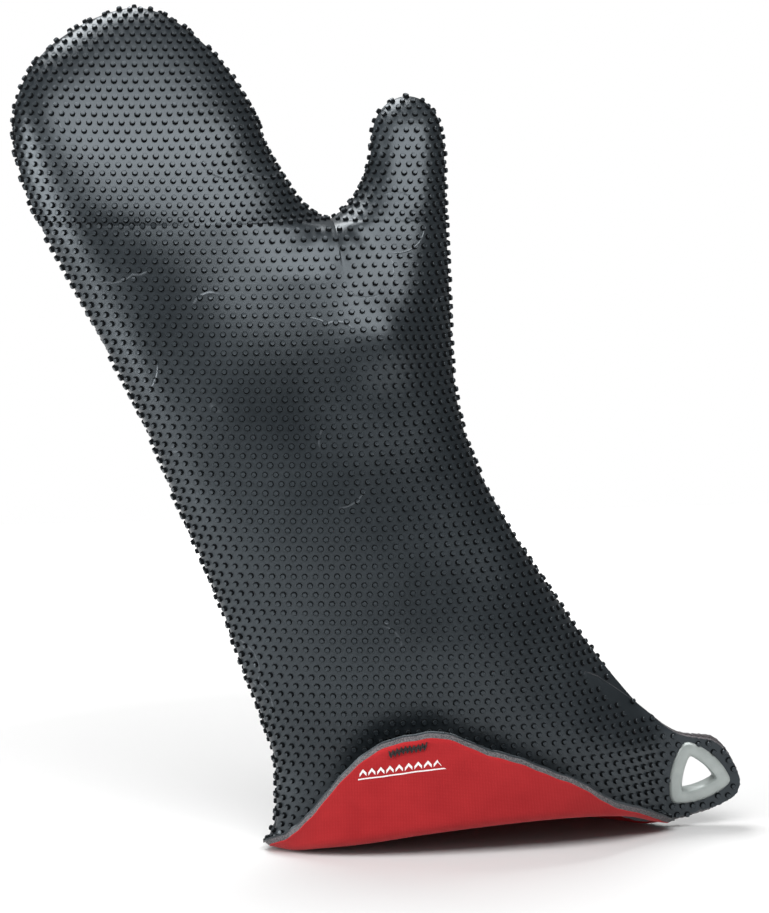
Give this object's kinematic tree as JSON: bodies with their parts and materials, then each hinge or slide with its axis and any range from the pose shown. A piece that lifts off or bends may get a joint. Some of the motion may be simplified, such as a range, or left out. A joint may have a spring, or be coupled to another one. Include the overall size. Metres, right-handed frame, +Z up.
{
  "type": "oven mitt",
  "caption": "Long rubber-faced oven mitt standing on its cuff, front hem folded outwards to show the lining, with a hanging tab and a triangular grommet.",
  "frame": {"origin": "on the standing plane, under the centre of the mitt's box", "axes": "+Z up along the standing mitt, -Y front (folded hem), +X thumb side"},
  "size_m": [0.3591, 0.1385, 0.4075],
  "materials": {
    "rubber": "moulded silicone-like rubber with raised nubs, satin",
    "foam": "dark grey knit-faced foam, seen only at the cut edge",
    "lining": "red brushed knit, matt",
    "seam_thread": "black polyester thread",
    "tack_thread": "black zigzag thread, slight sheen",
    "grommet_plastic": "satin silver-grey moulded plastic"
  },
  "bodies": {
    "hand": {"bar_tack": "tack_thread", "grommet_back": "grommet_plastic", "grommet_front": "grommet_plastic", "hand_back_foam": "foam", "hand_back_lining": "lining", "hand_back_rubber": "rubber", "hand_front_foam": "foam", "hand_front_lining": "lining", "hand_front_rubber": "rubber", "hand_seam_thread": "seam_thread"},
    "thumb": {"thumb_back_foam": "foam", "thumb_back_lining": "lining", "thumb_back_rubber": "rubber", "thumb_front_foam": "foam", "thumb_front_lining": "lining", "thumb_front_rubber": "rubber", "thumb_seam_thread": "seam_thread"},
    "fingers": {"fingers_back_foam": "foam", "fingers_back_lining": "lining", "fingers_back_rubber": "rubber", "fingers_front_foam": "foam", "fingers_front_lining": "lining", "fingers_front_rubber": "rubber", "fingers_seam_thread": "seam_thread"}
  },
  "joints": [
    {"name": "thumb_fold", "type": "hinge", "parent": "hand", "child": "thumb", "pos_m": [-0.0245, 0.0246, 0.31], "axis": [0.5377, -0.2111, -0.8163], "range_deg": [0, 35], "stiffness_Nm_per_rad": 0.6},
    {"name": "finger_fold", "type": "hinge", "parent": "hand", "child": "fingers", "pos_m": [-0.116, 0.0293, 0.324], "axis": [1, 0, 0], "range_deg": [0, 45], "stiffness_Nm_per_rad": 0.8}
  ]
}
